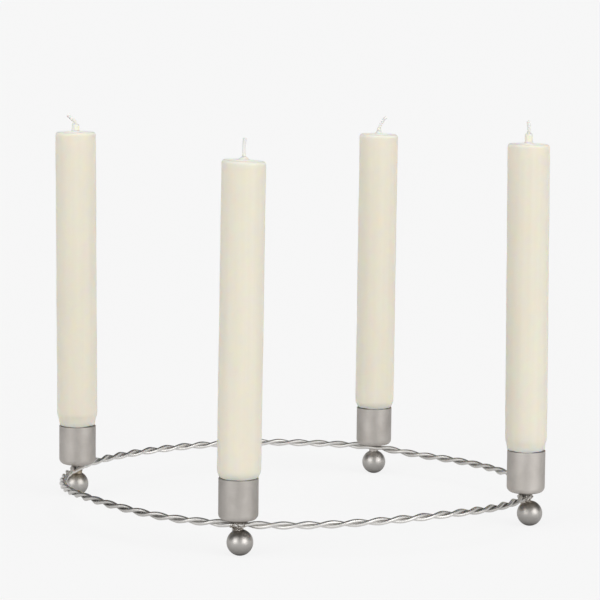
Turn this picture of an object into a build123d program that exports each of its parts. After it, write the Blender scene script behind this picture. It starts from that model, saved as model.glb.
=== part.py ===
from build123d import *
import math
import os

# Advent candle ring: two steel wires, twisted round each other and bent to a circle, carry four drawn
# cups. A screw in the floor of each cup passes between the wires into a ball foot and clamps them there.
# Millimetres, +Z up. The origin is the middle of the ring on the table, and +X points at cup 1.

# Ring of two twisted wires
RING_RADIUS = 143.5  # to the middle of the pair, where the cup axes stand
CUP_ANGLES = (0.0, 86.2, 180.0, 273.8)  # degrees round the ring, not quite even, as on the hand-set original
WIRE_D = 2.3
STRAND_GAP = 0.06  # between the strands where they lie against each other
HALF_TURN = 13.6  # length of ring in which the strands change places
EYE_BOW = 5.0  # from a cup's axis to here the strands bow level round the screw
EYE_END = 11.3  # from here on they are in full twist
EYE_SLOPE = 0.28  # at which the bowed strands close in again
EYE_GAP = 0.1  # between the screw and a strand
BUTT_GAP = 0.2  # joint of each strand with itself, hidden under cup 1
SEAT_GAP = 0.02  # between the round wire and the flats that clamp it

# Ball feet
BALL_D = 15.2
BALL_SHIFTS = (2.7, 0.2, -0.8, 1.1)  # of each ball from its neck along +X, as the original is joined by hand
REST_D = 3.4  # flat that a ball stands on
NECK_D = 5.8
NECK_HEIGHT = 1.4  # from the top of the ball to the flat under the wires
NECK_ROUND = 0.6
HOLE_RUNOUT = 1.0  # of the screw hole past the screw's tip
DRILL_POINT = 118.0  # degrees

# Cups
CUP_D = 22.8
CUP_WALL = 0.7
CUP_HEIGHT = 24.2  # from the underside of the floor to the rim
CUP_CORNER = 3.5  # round between floor and wall, outside
RIM_ROUND = 0.25
BOSS_D = 8.4  # pressed down in the middle of the floor, to stand on the wires
BOSS_DEPTH = 1.3
BOSS_FLARE = 0.6  # by which the boss widens up to the floor, each side

# Screws, from the cup down into the foot
SCREW_D = 3.0
SCREW_LENGTH = 12.0
SCREW_HEAD_D = 5.6
SCREW_HEAD_HEIGHT = 1.2
SCREW_HEAD_ROUND = 0.4
SLOT_WIDTH = 0.8
SLOT_DEPTH = 0.6
SCREW_FIT = 0.05  # each side, in the cup's floor and in the foot

# Candles, one value for each cup where they differ
CANDLE_D = 25.0
CANDLE_LENGTH = 203.0  # of the shortest one, from its foot to where the wax nub starts
CANDLE_EXTRAS = (5.2, 0.0, 4.7, 0.3)  # by which each one is longer
SPIGOT_FIT = 0.3  # each side, between a candle's foot and its cup
SPIGOT_TAPER = 0.4  # by which the foot narrows below the rim, each side
FOOT_BEVEL = 3.4  # bevel that clears the round in the cup
RIM_GAP = 0.5  # between the rim and the throat, which is a little wider than the cup's mouth
THROAT_WIDTHS = (22.4, 21.8, 21.6, 22.2)
THROAT_HEIGHTS = (3.6, 0.9, 3.9, 0.9)  # where the throat starts to widen, above the rim
SHOULDER_HEIGHTS = (6.7, 4.0, 7.2, 3.9)  # where a candle has its full width, above the rim
SHOULDER_ROUNDS = (1.5, 6.0, 1.5, 6.0)
CROWN = 0.6  # by which the top rises from its edge to the wax nub
TOP_ROUND = 1.5
NUB_BASES = (5.0, 5.0, 5.2, 6.6)  # wax drawn up round the wick: width below, width above, height
NUB_TIPS = (4.8, 2.6, 4.5, 2.6)
NUB_HEIGHTS = (6.0, 2.4, 4.6, 1.7)
NUB_FOOT_ROUNDS = (0.7, 0.8, 0.7, 1.5)
NUB_TIP_ROUNDS = (1.3, 0.3, 0.5, 0.3)

# Wicks: each leaves its wax straight for a length, then follows its bends in one upright plane
WICK_D = 1.9
WICK_FIT = 0.03  # each side, in the wax
WICK_INSET = 1.0  # of the wick's lower end, in the candle's foot
WICK_LEAN_ANGLES = (197.0, 17.0, 197.0, 17.0)  # degrees, of that plane round the candle
WICK_STRAIGHTS = (1.6, 0.2, 0.2, 3.6)
WICK_BEND_RADII = ((60.0, 1.6), (3.0, 40.0, 4.5), (2.2, 50.0), (60.0, 60.0))
WICK_BEND_ANGLES = ((4.0, 50.0), (24.0, 8.0, 30.0), (52.0, -6.0), (4.5, -2.0))  # degrees, over is plus

# Heights that follow, from the table up
BALL_Z = math.sqrt((BALL_D / 2) ** 2 - (REST_D / 2) ** 2)
NECK_TOP = BALL_Z + BALL_D / 2 + NECK_HEIGHT
RING_Z = NECK_TOP + SEAT_GAP + WIRE_D / 2
BOSS_Z = RING_Z + WIRE_D / 2 + SEAT_GAP
FLOOR_UNDER = BOSS_Z + BOSS_DEPTH
FLOOR_TOP = FLOOR_UNDER + CUP_WALL
RIM_Z = FLOOR_UNDER + CUP_HEIGHT
SCREW_SEAT = BOSS_Z + CUP_WALL
SCREW_TIP = SCREW_SEAT - SCREW_LENGTH


def turned(points, rounds=()):
    """Solid turned about Z from an outline of (radius, height) points, with some corners rounded."""
    face = make_face(Polyline(*points, close=True))
    for corner, radius in rounds:
        vertex = face.vertices().sort_by_distance(Vector(*corner))[0]
        face = fillet(vertex, radius)
    return revolve(Plane.XZ * face, Axis.Z)


def biarc(start, start_dir, end, end_dir):
    """Two arcs, tangent to each other, that lead from one point and direction to the next."""
    span = end - start
    along = span.dot(start_dir + end_dir)
    spread = 2 * (1 - start_dir.dot(end_dir))
    if spread < 1e-9:
        reach = span.dot(span) / (2 * along)
    else:
        reach = (math.sqrt(along**2 + spread * span.dot(span)) - along) / spread
    middle = (start + end + (start_dir - end_dir) * reach) * 0.5
    middle_dir = (end - end_dir * reach) - (start + start_dir * reach)
    return [TangentArc(start, middle, tangent=start_dir), TangentArc(middle, end, tangent=middle_dir)]


def strand_stops(side):
    """Points and directions along one strand, from cup 1 round to cup 1.

    side is 1 where the strand starts outside the screw of cup 1, and -1 where it starts inside.
    """
    offset = (WIRE_D + STRAND_GAP) / 2
    eye_width = SCREW_D / 2 + EYE_GAP + WIRE_D / 2
    bow_width = eye_width - EYE_SLOPE * EYE_BOW / 2
    stops = []

    def stop(length, out, up, out_slope=0.0):
        angle = length / RING_RADIUS
        outward = Vector(math.cos(angle), math.sin(angle), 0)
        forward = Vector(-math.sin(angle), math.cos(angle), 0)
        point = outward * (RING_RADIUS + out) + Vector(0, 0, RING_Z + up)
        stops.append((point, (forward + outward * out_slope).normalized()))

    cup_lengths = [math.radians(angle) * RING_RADIUS for angle in CUP_ANGLES + (CUP_ANGLES[0] + 360,)]
    stop(cup_lengths[0] + BUTT_GAP / 2, side * eye_width, 0)
    for here, there in zip(cup_lengths, cup_lengths[1:]):
        twisted = there - here - 2 * EYE_END
        turns = round(twisted / HALF_TURN)
        slope = 4 * offset * turns / twisted
        stop(here + EYE_BOW, side * bow_width, 0, -side * EYE_SLOPE)
        for turn in range(turns + 1):
            stop(here + EYE_END + twisted * turn / turns, 0, side * offset, -side * slope)
            side = -side
        stop(there - EYE_BOW, side * bow_width, 0, side * EYE_SLOPE)
        butt = BUTT_GAP / 2 if there == cup_lengths[-1] else 0
        stop(there - butt, side * eye_width, 0)
    return stops


def wire_path(side):
    """Middle line of one strand, as tangent arcs."""
    stops = strand_stops(side)
    arcs = []
    for (start, start_dir), (end, end_dir) in zip(stops, stops[1:]):
        arcs += biarc(start, start_dir, end, end_dir)
    return Wire([arc.edge() for arc in arcs], sequenced=True)


def least_gap(path_a, path_b):
    """Smallest clear distance between two strands, measured on points along their matching arcs."""
    shares = [step / 8 for step in range(9)]
    gaps = []
    for arc_a, arc_b in zip(path_a.edges(), path_b.edges()):
        gaps += [(arc_a @ one - arc_b @ other).length - WIRE_D for one in shares for other in shares]
    return min(gaps)


def wire_strand(path):
    """One round wire along its path."""
    section = Plane(origin=path @ 0, z_dir=path % 0) * Circle(WIRE_D / 2)
    return sweep(section, path=path)


def candle_cup():
    """Drawn cup on the Z axis: thin wall, round corner, a pressed boss in the floor with the screw's hole."""
    outer_r = CUP_D / 2
    inner_r = outer_r - CUP_WALL
    boss_r = BOSS_D / 2
    outer = turned(
        [(0, BOSS_Z), (boss_r, BOSS_Z), (boss_r + BOSS_FLARE, FLOOR_UNDER), (outer_r, FLOOR_UNDER),
         (outer_r, RIM_Z), (0, RIM_Z)],
        [((outer_r, FLOOR_UNDER), CUP_CORNER), ((outer_r, RIM_Z), RIM_ROUND)],
    )
    inner = turned(
        [(0, SCREW_SEAT), (boss_r - CUP_WALL, SCREW_SEAT), (boss_r - CUP_WALL + BOSS_FLARE, FLOOR_TOP),
         (inner_r, FLOOR_TOP), (inner_r, RIM_Z), (0, RIM_Z)],
        [((inner_r, FLOOR_TOP), CUP_CORNER - CUP_WALL)],
    )
    hole = Pos(0, 0, BOSS_Z) * Cylinder(SCREW_D / 2 + SCREW_FIT, 2 * CUP_WALL)
    return outer - inner - hole


def cup_screw():
    """Screw on the Z axis, head down in the cup's boss, with a driver slot."""
    head_r = SCREW_HEAD_D / 2
    head_top = SCREW_SEAT + SCREW_HEAD_HEIGHT
    body = turned(
        [(0, SCREW_TIP), (SCREW_D / 2, SCREW_TIP), (SCREW_D / 2, SCREW_SEAT), (head_r, SCREW_SEAT),
         (head_r, head_top), (0, head_top)],
        [((head_r, head_top), SCREW_HEAD_ROUND)],
    )
    return body - Pos(0, 0, head_top) * Box(SCREW_HEAD_D, SLOT_WIDTH, 2 * SLOT_DEPTH)


def ball_foot(number):
    """Ball with a rest flat and, on the Z axis, a neck up to the wires with a blind hole for the screw."""
    ball = Pos(BALL_SHIFTS[number], 0, BALL_Z) * Sphere(BALL_D / 2)
    ball = split(ball, bisect_by=Plane.XY, keep=Keep.TOP)
    neck_length = NECK_TOP - BALL_Z
    neck = Pos(0, 0, BALL_Z + neck_length / 2) * Cylinder(NECK_D / 2, neck_length)
    foot = ball + neck
    foot = fillet(new_edges(ball, neck, combined=foot), NECK_ROUND)
    hole_r = SCREW_D / 2 + SCREW_FIT
    hole_end = SCREW_TIP - HOLE_RUNOUT
    point_end = hole_end - hole_r / math.tan(math.radians(DRILL_POINT / 2))
    hole = turned([(0, point_end), (hole_r, hole_end), (hole_r, NECK_TOP), (0, NECK_TOP)])
    return foot - hole


def wax_top(number):
    """Height where the wax nub of a candle starts."""
    return FLOOR_TOP + CANDLE_LENGTH + CANDLE_EXTRAS[number]


def candle(number):
    """Wax candle on the Z axis: bevelled foot, throat, shoulder, crowned top, wax nub and wick hole."""
    spigot_r = CUP_D / 2 - CUP_WALL - SPIGOT_FIT
    foot_r = spigot_r - SPIGOT_TAPER
    throat_r = THROAT_WIDTHS[number] / 2
    body_r = CANDLE_D / 2
    shoulder = (body_r, RIM_Z + SHOULDER_HEIGHTS[number])
    top_edge = (body_r, wax_top(number) - CROWN)
    nub_foot = (NUB_BASES[number] / 2, wax_top(number))
    nub_tip = (NUB_TIPS[number] / 2, wax_top(number) + NUB_HEIGHTS[number])
    body = turned(
        [(0, FLOOR_TOP), (foot_r - FOOT_BEVEL, FLOOR_TOP), (foot_r, FLOOR_TOP + FOOT_BEVEL),
         (spigot_r, RIM_Z + RIM_GAP), (throat_r, RIM_Z + RIM_GAP), (throat_r, RIM_Z + THROAT_HEIGHTS[number]),
         shoulder, top_edge, nub_foot, nub_tip, (0, nub_tip[1])],
        [(shoulder, SHOULDER_ROUNDS[number]), (top_edge, TOP_ROUND), (nub_foot, NUB_FOOT_ROUNDS[number]),
         (nub_tip, NUB_TIP_ROUNDS[number])],
    )
    bore_length = nub_tip[1] - FLOOR_TOP
    return body - Pos(0, 0, FLOOR_TOP + bore_length / 2) * Cylinder(WICK_D / 2 + WICK_FIT, 2 * bore_length)


def wick(number):
    """Cotton wick on the Z axis, straight through the wax and bent above it."""
    lean = math.radians(WICK_LEAN_ANGLES[number])
    towards = Vector(math.cos(lean), math.sin(lean), 0)
    plane = Plane(origin=(0, 0, 0), x_dir=towards, z_dir=towards.cross(Vector(0, 0, 1)))
    nub_top = wax_top(number) + NUB_HEIGHTS[number]
    pieces = [Line((0, FLOOR_TOP + WICK_INSET), (0, nub_top + WICK_STRAIGHTS[number]))]
    for radius, degrees in zip(WICK_BEND_RADII[number], WICK_BEND_ANGLES[number]):
        pieces.append(JernArc(start=pieces[-1] @ 1, tangent=pieces[-1] % 1, radius=radius, arc_size=-degrees))
    path = plane * Wire([piece.edge() for piece in pieces])
    section = Plane(origin=path @ 0, z_dir=path % 0) * Circle(WICK_D / 2)
    return sweep(section, path=path)


nodes = {}
paths = {"a": wire_path(1), "b": wire_path(-1)}
for letter, path in paths.items():
    nodes[f"wire_strand_{letter}"] = wire_strand(path)
    share = nodes[f"wire_strand_{letter}"].volume / (path.length * math.pi * WIRE_D**2 / 4)
    print(f"strand {letter}: {path.length:.1f} mm long, {share:.4f} of section times length")

print(f"least gap between the strands: {least_gap(paths['a'], paths['b']):.3f} mm")

for number, angle in enumerate(CUP_ANGLES):
    place = Rot(0, 0, angle) * Pos(RING_RADIUS, 0, 0)
    upright = place * Rot(0, 0, -angle)
    name = number + 1
    nodes[f"candle_cup_{name}"] = place * candle_cup()
    nodes[f"cup_screw_{name}"] = place * cup_screw()
    nodes[f"ball_foot_{name}"] = upright * ball_foot(number)
    nodes[f"candle_{name}"] = place * candle(number)
    nodes[f"wick_{name}"] = upright * wick(number)

os.makedirs("parts", exist_ok=True)
for name, shape in nodes.items():
    export_step(shape, f"parts/{name}.step")
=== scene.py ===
import math
import random

import bmesh
import bpy
from mathutils import Matrix, Vector, noise


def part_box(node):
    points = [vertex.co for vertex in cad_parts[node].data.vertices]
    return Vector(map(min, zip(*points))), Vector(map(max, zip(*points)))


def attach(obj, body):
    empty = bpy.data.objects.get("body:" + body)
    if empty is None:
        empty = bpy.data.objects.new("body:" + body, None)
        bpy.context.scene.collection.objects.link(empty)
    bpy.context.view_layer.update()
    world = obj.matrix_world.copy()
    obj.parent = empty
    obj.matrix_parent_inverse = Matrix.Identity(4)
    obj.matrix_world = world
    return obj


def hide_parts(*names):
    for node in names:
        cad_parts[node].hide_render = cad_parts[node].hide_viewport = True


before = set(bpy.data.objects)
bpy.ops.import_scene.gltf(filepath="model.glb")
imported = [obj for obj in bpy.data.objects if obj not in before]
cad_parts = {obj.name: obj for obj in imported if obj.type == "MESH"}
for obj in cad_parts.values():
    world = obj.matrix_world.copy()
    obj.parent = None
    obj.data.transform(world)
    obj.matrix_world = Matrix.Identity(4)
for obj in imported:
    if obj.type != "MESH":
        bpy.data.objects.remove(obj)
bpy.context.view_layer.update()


# Twisted ring: two drawn steel wires, wound round each other, bent to a circle by hand and nickel plated.
# It isn't quite level between the cups, and the strands part round each screw. The plate is bright, with
# the valleys between the wires painted darker as painted shade, and three stretches painted darker still as
# painted shade.
class Shade:
    """An output of a shader node. Arithmetic on it adds Math nodes, and add() makes any other node."""

    def __init__(self, tree, socket=None):
        self.tree = tree
        self.socket = socket

    def add(self, kind, settings=None, sockets=None, output=0):
        """Adds a node, with its settings first and then the values or links of its sockets."""
        node = self.tree.nodes.new(kind)
        for name, value in (settings or {}).items():
            if name == "stops":
                elements = node.color_ramp.elements
                for number, (place, colour) in enumerate(value):
                    stop = elements[number] if number < len(elements) else elements.new(place)
                    stop.position = place
                    stop.color = (*colour, 1.0)
            else:
                setattr(node, name, value)
        for name, value in (sockets or {}).items():
            self.feed(node.inputs[name], value)
        return Shade(self.tree, node.outputs[output])

    def other(self, output):
        """Another output of the node that this one belongs to."""
        return Shade(self.tree, self.socket.node.outputs[output])

    def feed(self, socket, value):
        """Links a shade to a socket, or sets a plain value on it."""
        if isinstance(value, Shade):
            self.tree.links.new(value.socket, socket)
        else:
            socket.default_value = value

    def maths(self, operation, *values):
        return self.add("ShaderNodeMath", {"operation": operation}, dict(enumerate(values)))

    def __add__(self, other):
        return self.maths("ADD", self, other)

    def __sub__(self, other):
        return self.maths("SUBTRACT", self, other)

    def __rsub__(self, other):
        return self.maths("SUBTRACT", other, self)

    def __mul__(self, other):
        return self.maths("MULTIPLY", self, other)

    __radd__ = __add__
    __rmul__ = __mul__


def new_finish(name, **constants):
    """A material with constants set on its shader, the shader, and a shade to start expressions from."""
    material = bpy.data.materials.new(name)
    material.use_nodes = True
    shader = material.node_tree.nodes["Principled BSDF"]
    for socket, value in constants.items():
        shader.inputs[socket.replace("_", " ")].default_value = value
    return material, shader, Shade(material.node_tree)


def mottle(shade, scale, detail=2.0, stretch=(1.0, 1.0, 1.0)):
    """Noise over the piece, of about `scale` grains to the metre, finer where stretch is large."""
    place = shade.add("ShaderNodeTexCoord", output="Object")
    drawn = shade.add("ShaderNodeMapping", sockets={"Vector": place, "Scale": stretch})
    return shade.add("ShaderNodeTexNoise", sockets={"Vector": drawn, "Scale": scale, "Detail": detail})


def ramp(shade, value, low, high):
    """0 at low and 1 at high, with a smooth run between them."""
    return shade.add("ShaderNodeMapRange", {"interpolation_type": "SMOOTHSTEP"},
                     {"Value": value, "From Min": low, "From Max": high})


def between(shade, share, one, other):
    """A colour between two others."""
    colours = {name: (*value, 1.0) if isinstance(value, tuple) else value
               for name, value in (("A", one), ("B", other))}
    return shade.add("ShaderNodeMix", {"data_type": "RGBA"}, {"Factor": share, **colours}, output="Result")


def kept(shade, name):
    """A number that is stored on the points of the piece."""
    return shade.add("ShaderNodeAttribute", {"attribute_name": name}, output="Fac")


def relief(shade, height, strength, depth):
    """A surface that follows a height between 0 and 1, over a depth in metres."""
    return shade.add("ShaderNodeBump", sockets={"Height": height, "Strength": strength, "Distance": depth})


def coat(shade, shader, colour, roughness, surface):
    """Feeds what varies over a piece to its shader."""
    for socket, value in (("Base Color", colour), ("Roughness", roughness), ("Normal", surface)):
        shade.feed(shader.inputs[socket], value)


def axis_of(node):
    """The middle of a node's box, through which the upright axis of a turned piece runs."""
    low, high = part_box(node)
    return (low + high) / 2


def make_piece(name, shape, material, body, node=None):
    """Makes a smooth piece of a shape. It rides on a body, and stands for a node where one is given."""
    mesh = bpy.data.meshes.new(name)
    shape.to_mesh(mesh)
    shape.free()
    mesh.shade_smooth()
    mesh.set_sharp_from_angle(angle=SHARP)
    mesh.materials.append(material)
    made = bpy.data.objects.new(name, mesh)
    bpy.context.scene.collection.objects.link(made)
    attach(made, body)
    if node:
        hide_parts(node)
    return made


def keep_on_points(piece, name, values):
    """Stores one number for each point of a piece, for its finish to read."""
    piece.data.attributes.new(name, "FLOAT", "POINT").data.foreach_set("value", values)


MM = 0.001
CUPS = (1, 2, 3, 4)
SHARP = math.radians(38)
MERGED = 0.001 * MM  # distance below which two points are one
WIRE_RADIUS = 1.15 * MM
WIRE_SIDES = 5  # Blender's bevel resolution, which gives 14 sides
WIRE_STEPS = 8  # along each quarter turn of the twist
WIRE_ORDER = 4  # of the line that the points draw, which is cubic
HALF_TURN = 13.6 * MM  # length of ring in which the strands change places
TWIST_POINT = 1.77 * MM  # of the points that draw the twist, which pull the line in to 1.18 mm
EYE_POINTS = ((0.0, 2.95 * MM), (5.0 * MM, 2.35 * MM))  # along and out, from the axis of a screw
EYE_END = 11.3 * MM  # from a screw to where the strands are in full twist
BUTT_GAP = 0.1 * MM  # half of the joint of each strand with itself, hidden under cup 1
RING_BENDS = (  # degrees round the ring, and how far out and up the original is bent there
    (0.0, 0.0, 0.0), (44.0, 0.0, -3.2 * MM), (70.0, 0.0, -3.2 * MM), (91.0, 0.0, -0.1 * MM),
    (120.0, 0.0, 0.6 * MM), (160.0, 0.0, 0.0), (174.0, 0.0, 0.0), (200.0, -1.0 * MM, 0.0),
    (230.0, 0.0, 2.5 * MM), (264.0, 0.0, 0.1 * MM), (276.0, 0.0, 0.15 * MM), (320.0, 0.0, 2.3 * MM),
    (354.0, 0.0, 0.0), (360.0, 0.0, 0.0))
# The valleys between the strands are painted darker than the crowns, as painted shade.
WIRE_CROWN = (0.82, 0.805, 0.78)
WIRE_VALLEY = (0.74, 0.725, 0.70)
SHADED_CROWN = (0.64, 0.625, 0.60)
SHADED_VALLEY = (0.25, 0.24, 0.225)
SHADED_STRETCHES = (  # degrees round the ring to the middle, degrees to the ends, and share of painted shade
    (62.0, 30.0, 0.6), (238.0, 32.0, 1.0), (352.0, 30.0, 1.0))
CROWN_STARTS = 0.7 * MM  # from the middle of the twist
CROWN_FULL = 1.6 * MM
CROWN_EVEN = 0.8  # share of the crown's colour that is the same all over
CROWN_CLOUDED = 0.4  # share that comes and goes
WIRE_ROUGHNESS = 0.52
CROWN_SMOOTHER = 0.06
WIRE_UNEVEN = 0.12  # by which the roughness varies
WIRE_GRAIN = 2400.0  # to the metre
WIRE_GRAIN_STRENGTH = 0.15
WIRE_GRAIN_DEPTH = 0.1 * MM
WIRE_CLOUDS = 120.0  # to the metre

wire_low, wire_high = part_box("wire_strand_a")
cup_axes = [axis_of(f"candle_cup_{number}") for number in CUPS]
ring_radius = cup_axes[0].x
ring_height = (wire_low.z + wire_high.z) / 2


def ring_line(angle):
    """Radius and height of the ring's middle line, eased from bend to bend."""
    degrees = math.degrees(angle) % 360
    for (start, *here), (end, *there) in zip(RING_BENDS, RING_BENDS[1:]):
        if degrees <= end:
            share = (1 - math.cos(math.pi * (degrees - start) / (end - start))) / 2
            out, up = (one + (other - one) * share for one, other in zip(here, there))
            return ring_radius + out, ring_height + up


def strand_points(side):
    """Points of one strand, from cup 1 round to cup 1. It starts outside the screw where side is 1."""
    stops = []
    cup_angles = [math.atan2(axis.y, axis.x) % (2 * math.pi) for axis in cup_axes] + [2 * math.pi]
    cup_lengths = [angle * ring_radius for angle in cup_angles]
    for here, there in zip(cup_lengths, cup_lengths[1:]):
        twisted = there - here - 2 * EYE_END
        quarters = 2 * round(twisted / HALF_TURN)
        stops += [(here + along, side * out, 0.0) for along, out in EYE_POINTS]
        for quarter in range(quarters + 1):
            turn = quarter * math.pi / 2
            stops.append((here + EYE_END + twisted * quarter / quarters,
                          -side * TWIST_POINT * math.sin(turn), side * TWIST_POINT * math.cos(turn)))
        side *= -math.cos(quarters * math.pi / 2)
        stops.append((there - EYE_POINTS[1][0], side * EYE_POINTS[1][1], 0.0))
    stops.append((cup_lengths[-1] - BUTT_GAP, side * EYE_POINTS[0][1], 0.0))
    stops[0] = (BUTT_GAP, *stops[0][1:])
    for length, out, up in stops:
        angle = length / ring_radius
        radius, height = ring_line(angle)
        yield ((radius + out) * math.cos(angle), (radius + out) * math.sin(angle), height + up)


def drawn_wire(points):
    """A round wire along the smooth line that the points draw."""
    line = bpy.data.curves.new("wire_line", "CURVE")
    line.dimensions = "3D"
    line.bevel_depth = WIRE_RADIUS
    line.bevel_resolution = WIRE_SIDES
    line.use_fill_caps = True
    line.resolution_u = WIRE_STEPS
    spline = line.splines.new("NURBS")
    spline.points.add(len(points) - 1)
    for place, point in zip(spline.points, points):
        place.co = (*point, 1.0)
    spline.order_u = WIRE_ORDER
    spline.use_endpoint_u = True
    holder = bpy.data.objects.new("wire_line", line)
    mesh = bpy.data.meshes.new_from_object(holder)
    shape = bmesh.new()
    shape.from_mesh(mesh)
    bpy.data.objects.remove(holder)
    bpy.data.curves.remove(line)
    bpy.data.meshes.remove(mesh)
    bmesh.ops.remove_doubles(shape, verts=shape.verts, dist=MERGED)
    bmesh.ops.recalc_face_normals(shape, faces=shape.faces)
    return shape


def from_middle(place):
    """Distance of a place on the wires from the middle of the twist."""
    radius, height = ring_line(math.atan2(place.y, place.x))
    return math.hypot(math.hypot(place.x, place.y) - radius, place.z - height)


def painted_shade_share(place):
    """Share of painted shade at a place on the wires, which fades to both ends of a stretch."""
    degrees = math.degrees(math.atan2(place.y, place.x))
    shares = []
    for middle, reach, share in SHADED_STRETCHES:
        away = abs((degrees - middle + 180) % 360 - 180) / reach
        shares.append(share * max(0.0, 1 - away ** 2))
    return max(shares)


wire_nickel, shader, shade = new_finish("wire_nickel", Metallic=1.0)
crown = ramp(shade, kept(shade, "from_middle"), CROWN_STARTS, CROWN_FULL)
grain = mottle(shade, WIRE_GRAIN)
crown_share = crown * (CROWN_EVEN + CROWN_CLOUDED * mottle(shade, WIRE_CLOUDS))
# Painted shade: the valleys between the strands are darker than the crowns.
bright = between(shade, crown_share, WIRE_VALLEY, WIRE_CROWN)
shaded_tone = between(shade, crown_share, SHADED_VALLEY, SHADED_CROWN)
coat(shade, shader, between(shade, kept(shade, "painted_shade_share"), bright, shaded_tone),
     WIRE_ROUGHNESS - CROWN_SMOOTHER * crown + WIRE_UNEVEN * (grain - 0.5),
     relief(shade, grain, WIRE_GRAIN_STRENGTH, WIRE_GRAIN_DEPTH))
strands = []
for letter, side in (("a", 1), ("b", -1)):
    shape = drawn_wire(list(strand_points(side)))
    strand = make_piece(f"drawn_wire_{letter}", shape, wire_nickel, "holder",
                        f"wire_strand_{letter}")
    keep_on_points(strand, "from_middle", [from_middle(vert.co) for vert in strand.data.vertices])
    # Stores the share of painted shade along the three darker stretches of the ring.
    keep_on_points(strand, "painted_shade_share", [painted_shade_share(vert.co) for vert in strand.data.vertices])
    strands.append(strand)


# Ball feet: steel balls with a small flat to stand on, each joined to a short neck under the wires.
# Satin nickel, polished on a wheel. Soldering the wires to the necks has left the necks and the tops of the
# balls straw yellow, most of all on foot 3. Foot 4's neck and ball top are painted dark, as painted shade
# under the wires.
STRAW = (0.36, 0.29, 0.19)
# Dark brown, painted shade under the wires on foot 4 and under cups 1 and 4.
PAINTED_SHADE = (0.14, 0.12, 0.10)
# Feet 1 to 3 take a heat tint, foot 4 a painted shade.
TINTS = ((0.5, STRAW), (0.1, STRAW), (0.9, STRAW), (0.9, PAINTED_SHADE))  # share and colour, at the top of each neck
TINT_DEPTH = 8.0 * MM  # below the top of the neck, where the tint has faded out
FOOT_BRIGHT = (0.55, 0.53, 0.505)
FOOT_DULL = (0.50, 0.48, 0.455)
FOOT_ROUGHNESS = 0.42
RICH = 3.0  # detail of a mottle that has fine grain within coarse
PLATE_CLOUDS = 110.0  # to the metre
PLATE_CLOUD_RANGE = (0.3, 0.7)
PLATE_UNEVEN = 0.10  # by which the roughness varies with the clouds
WHEEL_MARKS = (150.0, 150.0, 5200.0)  # to the metre, across the piece and along its axis
MARKS_UNEVEN = 0.12  # by which the roughness varies with the marks
MARKS_STRENGTH = 0.10
MARKS_DEPTH = 0.05 * MM


def dress(node, material):
    """Gives a node of the frame its finish."""
    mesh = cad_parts[node].data
    mesh.materials.clear()
    mesh.materials.append(material)


def satin_nickel(name, bright, dull, roughness, tint=None, tinted=(0.0, 1.0), **constants):
    """Satin nickel plate: slightly clouded, with the fine marks of the polishing wheel round the piece.

    A tint of heat, or a painted shade, grows to its full share between the two heights in tinted.
    """
    material, shader, shade = new_finish(name, Metallic=1.0, **constants)
    clouds = mottle(shade, PLATE_CLOUDS, RICH)
    marks = mottle(shade, 1.0, stretch=WHEEL_MARKS)
    plate = between(shade, ramp(shade, clouds, *PLATE_CLOUD_RANGE), bright, dull)
    if tint:
        place = shade.add("ShaderNodeTexCoord", output="Object")
        height = shade.add("ShaderNodeSeparateXYZ", sockets={0: place}, output="Z")
        share, colour = tint
        plate = between(shade, share * ramp(shade, height, *tinted), plate, colour)
    coat(shade, shader, plate, roughness + PLATE_UNEVEN * (clouds - 0.5) + MARKS_UNEVEN * (marks - 0.5),
         relief(shade, marks, MARKS_STRENGTH, MARKS_DEPTH))
    return material


for number, tint in zip(CUPS, TINTS):
    neck_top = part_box(f"ball_foot_{number}")[1].z
    foot_nickel = satin_nickel(f"foot_nickel_{number}", FOOT_BRIGHT, FOOT_DULL, FOOT_ROUGHNESS,
                               tint, (neck_top - TINT_DEPTH, neck_top))
    dress(f"ball_foot_{number}", foot_nickel)


# Cups: drawn from sheet steel, with a round corner, an eased rim and a pressed boss on the wires.
# Brushed round and round and nickel plated, so light stands on them in upright bands. The undersides of
# cups 1 and 4 are painted darker, as painted shade where they sit on the wires.
TURNED_STEPS = 96
ROUND_STEPS = 8
HOLE_RADIUS = 1.55 * MM
BOSS_RADIUS = 4.2 * MM
BOSS_FLARE = 0.6 * MM
BOSS_DEPTH = 1.3 * MM
BOSS_EDGE = 0.3 * MM
CUP_WALL = 0.7 * MM
CUP_CORNER = 3.5 * MM
RIM_EDGE = 0.22 * MM
FLOOR_LIFTS = (0.0, -1.0 * MM, 0.0, 0.3 * MM)  # by which the hand-made cups' floors and rims stand higher
RIM_LIFTS = (1.1 * MM, -0.7 * MM, 0.0, 0.0)
CUP_BRIGHT = (0.614, 0.584, 0.552)
CUP_DULL = (0.562, 0.532, 0.500)
CUP_TONES = (1.10, 1.03, 1.04, 0.98)  # the plate took more polish on some cups than on others
CUP_ROUGHNESS = 0.66
CUP_BRUSHING = 0.35
CUP_BRUSHING_TURN = 0.25
CUP_UNDER_SHADE = (0.45, 0.0, 0.0, 0.8)  # share of painted shade on the underside
CUP_UNDER_SHADE_HEIGHT = 1.2 * MM  # above the floor, where it has faded out


def turned(outline, rounds, axis, closed=False):
    """A shape turned about an upright axis from (radius, height) points. rounds has setbacks of corners."""
    shape = bmesh.new()
    corners = [shape.verts.new((radius, 0.0, height)) for radius, height in outline]
    for pair in zip(corners, corners[1:]):
        shape.edges.new(pair)
    if closed:
        shape.edges.new((corners[-1], corners[0]))
    for number, setback in rounds.items():
        bmesh.ops.bevel(shape, geom=[corners[number]], offset=setback, segments=ROUND_STEPS, profile=0.5,
                        affect="VERTICES", material=-1)
    bmesh.ops.spin(shape, geom=shape.verts[:] + shape.edges[:], cent=(0, 0, 0), axis=(0, 0, 1),
                   angle=2 * math.pi, steps=TURNED_STEPS, use_merge=True)
    bmesh.ops.remove_doubles(shape, verts=shape.verts, dist=MERGED)
    bmesh.ops.recalc_face_normals(shape, faces=shape.faces)
    bmesh.ops.translate(shape, verts=shape.verts, vec=(axis.x, axis.y, 0))
    return shape


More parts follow.
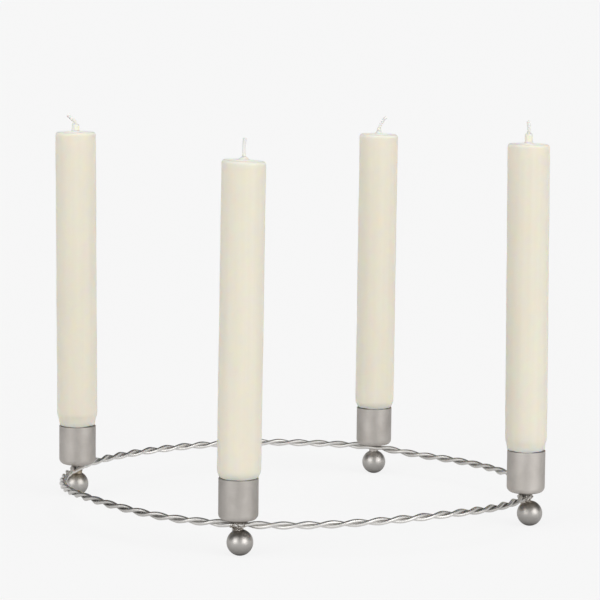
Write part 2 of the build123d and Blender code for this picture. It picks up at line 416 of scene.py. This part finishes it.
for number, floor_lift, rim_lift, tone, under_shade_share in zip(CUPS, FLOOR_LIFTS, RIM_LIFTS, CUP_TONES, CUP_UNDER_SHADE):
    low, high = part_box(f"candle_cup_{number}")
    outer = (high.x - low.x) / 2
    inner = outer - CUP_WALL
    rim = high.z + rim_lift
    floor_under = low.z + BOSS_DEPTH + floor_lift
    floor_top = floor_under + CUP_WALL
    seat = low.z + CUP_WALL
    bright, dull = (tuple(tone * value for value in colour) for colour in (CUP_BRIGHT, CUP_DULL))
    # Cups 1 and 4 are painted darker towards the underside, as painted shade.
    cup_nickel = satin_nickel(f"cup_nickel_{number}", bright, dull, CUP_ROUGHNESS,
                              (under_shade_share, PAINTED_SHADE), (floor_under + CUP_UNDER_SHADE_HEIGHT, floor_under),
                              Anisotropic=CUP_BRUSHING, Anisotropic_Rotation=CUP_BRUSHING_TURN)
    outline = [(HOLE_RADIUS, low.z), (BOSS_RADIUS, low.z), (BOSS_RADIUS + BOSS_FLARE, floor_under),
               (outer, floor_under), (outer, rim), (inner, rim), (inner, floor_top),
               (BOSS_RADIUS + BOSS_FLARE - CUP_WALL, floor_top), (BOSS_RADIUS - CUP_WALL, seat),
               (HOLE_RADIUS, seat)]
    rounds = {1: BOSS_EDGE, 2: BOSS_EDGE, 3: CUP_CORNER, 4: RIM_EDGE, 5: RIM_EDGE, 6: CUP_CORNER - CUP_WALL}
    shape = turned(outline, rounds, axis_of(f"candle_cup_{number}"), closed=True)
    make_piece(f"drawn_cup_{number}", shape, cup_nickel, "holder", f"candle_cup_{number}")


# Cup screws: slotted steel screws, sunk in the boss of each cup, that clamp cup, wires and foot.
# Bright zinc, dulled by the driver and by old wax.
SCREW_BRIGHT = (0.62, 0.62, 0.61)
SCREW_DULL = (0.48, 0.47, 0.46)
SCREW_ROUGHNESS = 0.34

screw_steel = satin_nickel("screw_steel", SCREW_BRIGHT, SCREW_DULL, SCREW_ROUGHNESS)
for number in CUPS:
    dress(f"cup_screw_{number}", screw_steel)


# Solder: silver solder that tacks the wires to the necks of the feet. It was put on by hand, so it lies in
# rough lumps round the near and the right foot and on the wires there, and hardly shows at the other two.
NECK_LUMPS = (30, 3, 8, 40)
NECK_RADIUS = 2.9 * MM
NECK_BAND = (-3.0 * MM, -1.0 * MM)  # of the neck that shows, from the middle of the wires
WIRE_LUMPS = (80, 0, 0, 130)
TACKED = (  # stretch of the wires with solder, along the ring from a screw
    (-9.0 * MM, 3.5 * MM), (0.0, 0.0), (0.0, 0.0), (-4.5 * MM, 4.5 * MM))
LUMP_SEED = 5
LUMP_SIZES = (0.30 * MM, 0.70 * MM)
LUMP_FINENESS = 2  # times that a ball of 20 faces is divided
LUMP_PROUD = 0.25  # share of its size by which the middle of a lump stands off what it sits on
LUMP_ROUGH = 0.5  # share of its size by which a lump is uneven
LUMP_GRAIN = 900.0  # to the metre
SOLDER_BRIGHT = (0.84, 0.81, 0.77)
SOLDER_BURNT = (0.20, 0.17, 0.14)
CRUST_GRAIN = 1500.0  # to the metre
CRUST_RANGE = (0.4, 0.6)
CRUST_ROUGHNESS = 0.20
CRUST_UNEVEN = 0.4  # by which it is rougher where the crust is thick
CRUST_STRENGTH = 0.7
CRUST_DEPTH = 0.3 * MM

solder, shader, shade = new_finish("solder", Metallic=1.0)
crust = mottle(shade, CRUST_GRAIN, RICH)
coat(shade, shader, between(shade, ramp(shade, crust, *CRUST_RANGE), SOLDER_BURNT, SOLDER_BRIGHT),
     CRUST_ROUGHNESS + CRUST_UNEVEN * crust, relief(shade, crust, CRUST_STRENGTH, CRUST_DEPTH))


def along_ring(place, axis):
    """Length round the ring from a screw's axis to a place, less than nothing where it is clockwise."""
    turn = math.atan2(place.y, place.x) - math.atan2(axis.y, axis.x)
    return ring_radius * ((turn + math.pi) % (2 * math.pi) - math.pi)


dice = random.Random(LUMP_SEED)
for number, axis, neck_lumps, wire_lumps, stretch in zip(CUPS, cup_axes, NECK_LUMPS, WIRE_LUMPS, TACKED):
    seats = []
    for _ in range(neck_lumps):
        out = Matrix.Rotation(dice.uniform(0, 2 * math.pi), 3, "Z") @ Vector((1, 0, 0))
        height = ring_height + dice.uniform(*NECK_BAND)
        seats.append((Vector((axis.x, axis.y, height)) + out * NECK_RADIUS, out))
    tacked = [vert for strand in strands for vert in strand.data.vertices
              if stretch[0] < along_ring(vert.co, axis) < stretch[1]]
    seats += [(vert.co, vert.normal) for vert in dice.sample(tacked, wire_lumps)]
    shape = bmesh.new()
    for seat, out in seats:
        size = dice.uniform(*LUMP_SIZES)
        middle = seat + out * size * LUMP_PROUD
        made = bmesh.ops.create_icosphere(shape, subdivisions=LUMP_FINENESS, radius=size,
                                          matrix=Matrix.Translation(middle))
        for vert in made["verts"]:
            vert.co += (vert.co - middle) * LUMP_ROUGH * noise.noise(vert.co * LUMP_GRAIN)
    make_piece(f"solder_lumps_{number}", shape, solder, "holder")


# Candles: ivory stearin wax, pressed. The narrowed foot stands in the cup, a throat and a shoulder show
# above the rim, and a nub of wax is drawn up round the wick. The middle of the top is painted paler than
# the sides, as painted light, the edge of the top and the nub darker, as painted shade, and the wax in the
# gap at the rim dark, as painted shade.
CANDLE_FOOT = 10.0 * MM
FOOT_BEVEL = 3.4 * MM
SPIGOT = 10.4 * MM
TINY = 0.01 * MM  # slack in tests of where a point is
RIM_GAP = 0.40 * MM  # between the rim and the wax, on average
RIM_GAP_RISE = 0.5 * MM  # by which it is wider at the sides than in front
RIM_GAP_WAVE = 0.3 * MM
RIM_GAP_WAVE_LENGTH = 4.0 * MM
LOWEST_WAX = (11.3 * MM, 10.9 * MM, 10.8 * MM, 11.1 * MM)  # radius just above the rim
LOWEST_EASE = 0.35 * MM
THROATS = (11.5 * MM, 11.0 * MM, 11.75 * MM, 11.2 * MM)  # radius where the shoulder starts
THROAT_HEIGHTS = (3.4 * MM, 1.1 * MM, 5.4 * MM, 0.9 * MM)
THROAT_EASES = (1.4 * MM, 0.3 * MM, 1.2 * MM, 0.3 * MM)
SHOULDER_HEIGHTS = (6.9 * MM, 4.0 * MM, 7.7 * MM, 3.9 * MM)
SHOULDER_EASES = (1.5 * MM, 1.2 * MM, 1.2 * MM, 1.4 * MM)
CROWN = 0.6 * MM
TOP_EDGE = 1.6 * MM
NUB_BASES = (2.5 * MM, 2.5 * MM, 2.6 * MM, 3.3 * MM)
NUB_TIPS = (2.4 * MM, 1.3 * MM, 2.25 * MM, 1.3 * MM)
NUB_HEIGHTS = (6.0 * MM, 2.4 * MM, 4.6 * MM, 1.7 * MM)
NUB_FILLETS = (0.8 * MM, 0.7 * MM, 0.8 * MM, 0.9 * MM)
NUB_EDGES = (1.2 * MM, 0.3 * MM, 0.5 * MM, 0.25 * MM)
NUB_SLOPES = (0.0, 0.0, -0.25, 0.0)  # by which the top of a nub rises to the right, as seen from the front
TOP_SLOPES = (-0.03, -0.01, 0.0, -0.045)  # by which the candle's own top does
TOP_SLOPE_DEPTH = 12 * MM
BODY_RINGS = 56
WAX_WAVE = 0.16 * MM
WAX_WAVE_LENGTH = 22.0 * MM
WAX_IVORY = (0.792, 0.762, 0.664)
WAX_DEEP = (0.777, 0.742, 0.638)
WAX_EDGE_SHADED = (0.725, 0.71, 0.64)  # at the edge of the top and on the nub, painted darker as painted shade
WAX_EDGE_DEPTH = 7.0 * MM
WAX_TOP_LIT = (0.95, 0.935, 0.86)  # in the middle of the top, painted paler as painted light
WAX_TOP_START = 0.3 * MM  # from the edge inwards
WAX_TOP_FULL = 1.2 * MM
WAX_GAP_SHADE = (0.16, 0.13, 0.10)  # painted shade in the gap between the wax and the rim
GAP_SHADE_DEPTH = 1.8 * MM  # below the rim, where the painted shade has faded out
WAX_DEPTH = 9.0 * MM  # that light goes into it
WAX_DEPTH_SHARES = (1.0, 0.7, 0.4)  # of red, green and blue
WAX_REFRACTION = 1.44
WAX_CLOUDS = 34.0  # to the metre
WAX_CLOUD_SHAPE = (1.0, 1.0, 0.35)
WAX_STREAKS = 260.0  # to the metre
WAX_STREAK_SHAPE = (1.0, 1.0, 0.02)
WAX_STREAK_SHARE = 0.65
WAX_TONE_RANGE = (0.35, 0.65)
WAX_ROUGHNESS = 0.46
WAX_CLOUDS_UNEVEN = 0.10  # by which the roughness varies with the clouds
WAX_GRAIN = 700.0  # to the metre
WAX_GRAIN_UNEVEN = 0.14  # by which the roughness varies with the grain
WAX_GRAIN_STRENGTH = 0.12
WAX_GRAIN_DEPTH = 0.1 * MM
CANDLE_LEANS = (-0.56, 0.2, -0.4, 0.44)  # degrees to the right, seen from the front, in the play of the cup

candle_wax, shader, shade = new_finish(
    "candle_wax", Subsurface_Weight=1.0, Subsurface_Radius=WAX_DEPTH_SHARES, Subsurface_Scale=WAX_DEPTH,
    IOR=WAX_REFRACTION)
from_edge = kept(shade, "past_edge")
clouds = mottle(shade, WAX_CLOUDS, RICH, WAX_CLOUD_SHAPE)
streaks = mottle(shade, WAX_STREAKS, stretch=WAX_STREAK_SHAPE)
grain = mottle(shade, WAX_GRAIN, RICH)
mixed = (1 - WAX_STREAK_SHARE) * clouds + WAX_STREAK_SHARE * streaks
body_tone = between(shade, ramp(shade, mixed, *WAX_TONE_RANGE), WAX_IVORY, WAX_DEEP)
# Painted shade at the edge of the top and on the nub, and painted light in the middle of the top.
side_tone = between(shade, ramp(shade, from_edge, 0.0, WAX_EDGE_DEPTH), WAX_EDGE_SHADED, body_tone)
tone_out_of_gap = between(shade, ramp(shade, from_edge, -WAX_TOP_FULL, -WAX_TOP_START), WAX_TOP_LIT, side_tone)
# The wax in the gap at the rim is painted dark, as painted shade.
coat(shade, shader, between(shade, kept(shade, "gap_shade"), tone_out_of_gap, WAX_GAP_SHADE),
     WAX_ROUGHNESS + WAX_GRAIN_UNEVEN * (grain - 0.5) + WAX_CLOUDS_UNEVEN * (clouds - 0.5),
     relief(shade, grain, WAX_GRAIN_STRENGTH, WAX_GRAIN_DEPTH))

FRONT_TURN = math.radians(17)
to_the_right = Vector((math.cos(FRONT_TURN), math.sin(FRONT_TURN), 0))
to_the_back = Vector((-math.sin(FRONT_TURN), math.cos(FRONT_TURN), 0))


def lean_with_candle(shape, number):
    """Leans a candle, or what is in it, about the middle of the candle's foot."""
    low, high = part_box(f"candle_{number}")
    foot = Vector(((low.x + high.x) / 2, (low.y + high.y) / 2, low.z))
    lean = Matrix.Rotation(math.radians(CANDLE_LEANS[number - 1]), 3, to_the_back)
    bmesh.ops.rotate(shape, verts=shape.verts, cent=foot, matrix=lean)


for number in CUPS:
    pick = number - 1
    low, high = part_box(f"candle_{number}")
    axis = axis_of(f"candle_{number}")
    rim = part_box(f"candle_cup_{number}")[1].z + RIM_LIFTS[pick]
    foot = low.z + max(0.0, FLOOR_LIFTS[pick])
    body = (high.x - low.x) / 2
    top = high.z - NUB_HEIGHTS[pick]
    outline = [(0.0, foot), (CANDLE_FOOT - FOOT_BEVEL, foot), (CANDLE_FOOT, foot + FOOT_BEVEL),
               (SPIGOT, rim - GAP_SHADE_DEPTH), (SPIGOT, rim + RIM_GAP), (LOWEST_WAX[pick], rim + RIM_GAP),
               (THROATS[pick], rim + THROAT_HEIGHTS[pick]), (body, rim + SHOULDER_HEIGHTS[pick]),
               (body, top - CROWN), (NUB_BASES[pick], top), (NUB_TIPS[pick], high.z), (0.0, high.z)]
    rounds = {5: LOWEST_EASE, 6: THROAT_EASES[pick], 7: SHOULDER_EASES[pick], 8: TOP_EDGE,
              9: NUB_FILLETS[pick], 10: NUB_EDGES[pick]}
    shape = turned(outline, rounds, axis)
    tall = [edge for edge in shape.edges if abs(edge.verts[0].co.z - edge.verts[1].co.z) > (top - rim) / 2]
    bmesh.ops.subdivide_edges(shape, edges=tall, cuts=BODY_RINGS)
    gap_shade = []
    past_edge = []  # down the side from the edge of the top, and less than nothing inwards from it
    for vert in shape.verts:
        out = Vector((vert.co.x - axis.x, vert.co.y - axis.y, 0))
        # Marks the wax in the gap at the rim for painted shade.
        gap_shade.append(rim < vert.co.z < rim + RIM_GAP + TINY and out.length < SPIGOT + TINY)
        flat = top - CROWN < vert.co.z < top + TINY and out.length < body - TOP_EDGE
        past_edge.append(out.length + TOP_EDGE - body if flat else max(0.0, top - CROWN - vert.co.z))
        side = out.dot(to_the_right)
        near_top = min(1.0, max(0.0, 1 - (top - vert.co.z) / TOP_SLOPE_DEPTH))
        on_nub = min(1.0, max(0.0, (vert.co.z - top) / NUB_HEIGHTS[pick]))
        if abs(vert.co.z - rim - RIM_GAP) < LOWEST_EASE + TINY:
            wave = noise.noise(Vector((*vert.co.xy, 0)) / RIM_GAP_WAVE_LENGTH)
            vert.co.z += RIM_GAP_RISE * ((side / out.length) ** 2 - 0.5) + RIM_GAP_WAVE * wave
        if vert.co.z > rim:
            vert.co += out.normalized() * noise.noise(vert.co / WAX_WAVE_LENGTH) * WAX_WAVE
        vert.co.z += side * (TOP_SLOPES[pick] * near_top * (1 - on_nub) + NUB_SLOPES[pick] * on_nub)
    lean_with_candle(shape, number)
    candle = make_piece(f"pressed_candle_{number}", shape, candle_wax, f"lifted_candle_{number}",
                        f"candle_{number}")
    keep_on_points(candle, "past_edge", past_edge)
    keep_on_points(candle, "gap_shade", gap_shade)


# Wicks: three plies of bleached cotton twisted together, run through the whole candle and cut off above it.
# Each was bent over when the candle was packed. The lowest part is soaked with wax.
WICK_RADIUS = 1.02 * MM
PLIES = 3
PLY_DEPTH = 0.13  # share of the radius by which the plies stand out
PLY_SIDES = 24
PLY_TURN = math.radians(24)  # twist in each step
WICK_STEP = 0.3 * MM
WICK_SIDES = (-1, 1, -1, 1)  # bent to the left or to the right, as seen from the front
WICK_STRAIGHTS = (1.6 * MM, 0.2 * MM, 0.2 * MM, 3.6 * MM)  # above the nub
WICK_BENDS = (  # radius and degrees of the arcs that follow
    ((60.0 * MM, 4.0), (1.6 * MM, 50.0)),
    ((3.0 * MM, 24.0), (40.0 * MM, 8.0), (4.5 * MM, 30.0)),
    ((2.2 * MM, 52.0), (50.0 * MM, -6.0)),
    ((60.0 * MM, 4.5), (60.0 * MM, -2.0)),
)
SOAKED = 3.0 * MM  # of wick above the nub
COTTON = (0.84, 0.84, 0.82)
COTTON_SHADE = (0.77, 0.77, 0.75)
COTTON_SOAKED = (0.80, 0.78, 0.68)
COTTON_GLOW = 0.15  # share of light that goes into it
COTTON_GLOW_DEPTH = 1.0 * MM
COTTON_ROUGHNESS = 0.9
SOAKED_SMOOTHER = 0.35
FIBRES = 4200.0  # to the metre
FIBRE_STRENGTH = 0.5
FIBRE_DEPTH = 0.1 * MM

wick_cotton, shader, shade = new_finish(
    "wick_cotton", Subsurface_Weight=COTTON_GLOW, Subsurface_Scale=COTTON_GLOW_DEPTH)
soaked = kept(shade, "soaked")
fibres = mottle(shade, FIBRES, RICH)
coat(shade, shader, between(shade, soaked, between(shade, fibres, COTTON, COTTON_SHADE), COTTON_SOAKED),
     COTTON_ROUGHNESS - SOAKED_SMOOTHER * soaked, relief(shade, fibres, FIBRE_STRENGTH, FIBRE_DEPTH))

for number in CUPS:
    pick = number - 1
    axis = axis_of(f"candle_{number}")
    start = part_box(f"wick_{number}")[0].z + max(0.0, FLOOR_LIFTS[pick])
    wax_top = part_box(f"candle_{number}")[1].z
    moves = [(wax_top - start, 0.0)]
    moves += [(WICK_STEP, 0.0)] * round(WICK_STRAIGHTS[pick] / WICK_STEP)
    for radius, degrees in WICK_BENDS[pick]:
        arc = radius * math.radians(abs(degrees))
        steps = max(1, round(arc / WICK_STEP))
        moves += [(arc / steps, math.radians(degrees) / steps)] * steps
    hinge = WICK_SIDES[pick] * to_the_back
    heading = Vector((0, 0, 1))
    spot = Vector((axis.x, axis.y, start))
    shape = bmesh.new()
    bmesh.ops.create_circle(shape, segments=PLY_SIDES, radius=WICK_RADIUS, matrix=Matrix.Translation(spot))
    for vert in shape.verts:
        out = vert.co - spot
        vert.co = spot + out * (1 + PLY_DEPTH * math.cos(PLIES * math.atan2(out.y, out.x)))
    loop = shape.edges[:]
    for length, bend in moves:
        grown = bmesh.ops.extrude_edge_only(shape, edges=loop)["geom"]
        verts = [item for item in grown if isinstance(item, bmesh.types.BMVert)]
        loop = [item for item in grown if isinstance(item, bmesh.types.BMEdge)]
        swing = Matrix.Rotation(bend, 3, hinge)
        heading = swing @ heading
        twist = Matrix.Rotation(PLY_TURN, 3, heading)
        bmesh.ops.rotate(shape, verts=verts, cent=spot, matrix=twist @ swing)
        bmesh.ops.translate(shape, verts=verts, vec=heading * length)
        spot = spot + heading * length
    bmesh.ops.holes_fill(shape, edges=[edge for edge in shape.edges if edge.is_boundary])
    bmesh.ops.recalc_face_normals(shape, faces=shape.faces)
    lean_with_candle(shape, number)
    wick = make_piece(f"cotton_wick_{number}", shape, wick_cotton, f"lifted_candle_{number}",
                      f"wick_{number}")
    keep_on_points(wick, "soaked", [min(1.0, max(0.0, 1 - (vert.co.z - wax_top) / SOAKED))
                                    for vert in wick.data.vertices])


# Studio: a pale floor that runs out of sight, a white wall low all round, a dim room above it,
# soft boxes left of, right of and above the camera, a wide one overhead, and fills at the sides and behind.
FLOOR_REACH = 60.0
FLOOR_COLOUR = (0.62, 0.62, 0.62)
FLOOR_WHITE = (1.0, 1.0, 1.0)
FLOOR_GLOW = 0.84  # share of the floor's look that is plain white, so that its shadows stay faint
FLOOR_GLOW_IN_METAL = 0.4
CONTACT_SHADE = (0.10, 0.10, 0.10)
CONTACT_REACH = 30.0 * MM  # over which what stands on the floor darkens it in polished metal
CONTACT_SAMPLES = 8
WALL_TONE = (0.92, 0.92, 0.92)
ROOM_TONE = (0.06, 0.06, 0.06)
ROOM = (  # tone by the sine of the height
    (0.0, WALL_TONE), (0.14, WALL_TONE), (0.26, ROOM_TONE), (1.0, ROOM_TONE))
SOFT_BOXES = {  # turn, height and spread in degrees, and strength
    "left_soft_box": (-25.0, 23.0, 40.0, 0.96),
    "right_soft_box": (63.0, 23.0, 44.0, 1.24),
    "front_soft_box": (17.0, 34.0, 36.0, 0.12),
    "overhead_soft_box": (17.0, 80.0, 60.0, 1.15),
    "left_fill": (-63.0, 15.0, 70.0, 0.45),
    "right_fill": (97.0, 15.0, 70.0, 0.55),
    "back_fill": (197.0, 20.0, 80.0, 0.35),
}
FLAGGED = ("overhead_soft_box", "left_fill", "right_fill", "back_fill")  # not mirrored in the metal

mesh = bpy.data.meshes.new("floor")
shape = bmesh.new()
bmesh.ops.create_grid(shape, x_segments=1, y_segments=1, size=FLOOR_REACH)
shape.to_mesh(mesh)
shape.free()
floor = bpy.data.objects.new("floor", mesh)
bpy.context.scene.collection.objects.link(floor)

floor_paint = bpy.data.materials.new("floor_paint")
floor_paint.use_nodes = True
tree = floor_paint.node_tree
tree.nodes.remove(tree.nodes["Principled BSDF"])
shade = Shade(tree)
rays = shade.add("ShaderNodeLightPath", output="Is Camera Ray")
mirrored = rays.other("Is Glossy Ray")
seen = shade.maths("MAXIMUM", rays, rays.other("Is Transmission Ray")) * FLOOR_GLOW
seen = shade.maths("MAXIMUM", seen, mirrored * FLOOR_GLOW_IN_METAL)
open_sky = shade.add("ShaderNodeAmbientOcclusion", {"samples": CONTACT_SAMPLES},
                     {"Distance": CONTACT_REACH}, output="AO")
covered = mirrored * (1 - open_sky)
matt = shade.add("ShaderNodeBsdfDiffuse",
                 sockets={"Color": between(shade, covered, FLOOR_COLOUR, CONTACT_SHADE)})
glow = shade.add("ShaderNodeEmission",
                 sockets={"Color": between(shade, covered, FLOOR_WHITE, CONTACT_SHADE)})
lit = shade.add("ShaderNodeMixShader", sockets={0: seen, 1: matt, 2: glow})
below = shade.add("ShaderNodeNewGeometry", output="Backfacing")
clear = shade.add("ShaderNodeBsdfTransparent")
shade.feed(tree.nodes["Material Output"].inputs["Surface"],
           shade.add("ShaderNodeMixShader", sockets={0: below, 1: lit, 2: clear}))
mesh.materials.append(floor_paint)

world = bpy.data.worlds.new("studio")
world.use_nodes = True
bpy.context.scene.world = world
tree = world.node_tree
shade = Shade(tree)
rise = shade.add("ShaderNodeSeparateXYZ",
                 sockets={0: shade.add("ShaderNodeTexCoord", output="Generated")}, output="Z")
shade.feed(tree.nodes["Background"].inputs["Color"],
           shade.add("ShaderNodeValToRGB", {"stops": ROOM}, {"Fac": rise}))

for name, (side, height, spread, strength) in SOFT_BOXES.items():
    lamp = bpy.data.objects.new(name, bpy.data.lights.new(name, "SUN"))
    lamp.data.energy = strength
    lamp.data.angle = math.radians(spread)
    lamp.rotation_euler = (math.radians(90 - height), 0, math.radians(side))
    lamp.visible_glossy = name not in FLAGGED
    bpy.context.scene.collection.objects.link(lamp)


# Camera: from slightly above, with cup 4 in front and cup 1 to the right.
# A long lens from about 1.8 m, looking slightly down and rolled by half a degree.
CAMERA_PLACE = (0.5104, -1.67791, 0.33144)
CAMERA_TURN = math.radians(16.8816)
CAMERA_TILT = math.radians(6.5685)
CAMERA_ROLL = math.radians(0.5855)
CAMERA_LENS = 174.064  # in mm, as the width of the film is
CAMERA_FILM = 36.0

camera = bpy.data.objects.new("camera", bpy.data.cameras.new("camera"))
camera.data.lens = CAMERA_LENS
camera.data.sensor_width = CAMERA_FILM
turn = Matrix.Rotation(CAMERA_TURN, 4, "Z")
tilt = Matrix.Rotation(math.pi / 2 - CAMERA_TILT, 4, "X")
roll = Matrix.Rotation(CAMERA_ROLL, 4, "Z")
camera.matrix_world = Matrix.Translation(CAMERA_PLACE) @ turn @ tilt @ roll
bpy.context.scene.collection.objects.link(camera)
bpy.context.scene.camera = camera
bpy.context.scene.view_settings.view_transform = "Standard"
